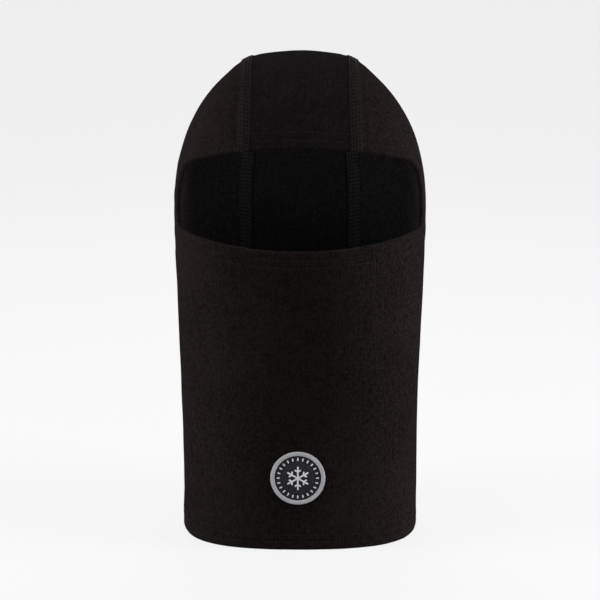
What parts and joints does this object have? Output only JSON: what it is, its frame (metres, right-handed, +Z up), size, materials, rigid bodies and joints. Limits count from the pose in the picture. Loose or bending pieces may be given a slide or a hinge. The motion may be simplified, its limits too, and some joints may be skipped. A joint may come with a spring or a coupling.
{
  "type": "balaclava",
  "caption": "Knitted balaclava covering head and neck, with one wide eye opening, a crown strip between flatlocked seams, turned stitched hems and a round moulded badge.",
  "frame": {"origin": "centre of the neck hem's lower edge", "axes": "+Z up from the neck to the crown, the face looks along -Y, +X is to the right of somebody who looks at the face"},
  "size_m": [0.178, 0.1503, 0.345],
  "materials": {
    "knit_cloth": "matte brushed knit",
    "sewing_thread": "matte polyester thread",
    "badge_dark": "matte moulded",
    "badge_grey": "matte moulded",
    "badge_pale": "matte moulded",
    "label_satin": "satin tape"
  },
  "bodies": {
    "hood": {"wrap_panel": "knit_cloth", "crown_strip": "knit_cloth", "left_seam_needle_thread_1": "sewing_thread", "left_seam_needle_thread_2": "sewing_thread", "left_seam_needle_thread_3": "sewing_thread", "left_seam_needle_thread_4": "sewing_thread", "left_seam_cover_thread": "sewing_thread", "left_seam_looper_thread": "sewing_thread", "right_seam_needle_thread_1": "sewing_thread", "right_seam_needle_thread_2": "sewing_thread", "right_seam_needle_thread_3": "sewing_thread", "right_seam_needle_thread_4": "sewing_thread", "right_seam_cover_thread": "sewing_thread", "right_seam_looper_thread": "sewing_thread", "face_hem_needle_thread_1": "sewing_thread", "face_hem_needle_thread_2": "sewing_thread", "face_hem_looper_thread": "sewing_thread", "neck_hem_needle_thread_1": "sewing_thread", "neck_hem_needle_thread_2": "sewing_thread", "neck_hem_looper_thread": "sewing_thread", "badge_base": "badge_dark", "badge_rim": "badge_grey", "badge_disc": "badge_dark", "badge_ticks": "badge_pale", "badge_star": "badge_pale", "label_tack_thread": "sewing_thread"},
    "care_label": {"care_label": "label_satin"}
  },
  "joints": [
    {"name": "care_label_swing", "type": "hinge", "parent": "hood", "child": "care_label", "pos_m": [0, 0.06165, 0.071], "axis": [-1, 0, 0], "range_deg": [0, 135]}
  ]
}
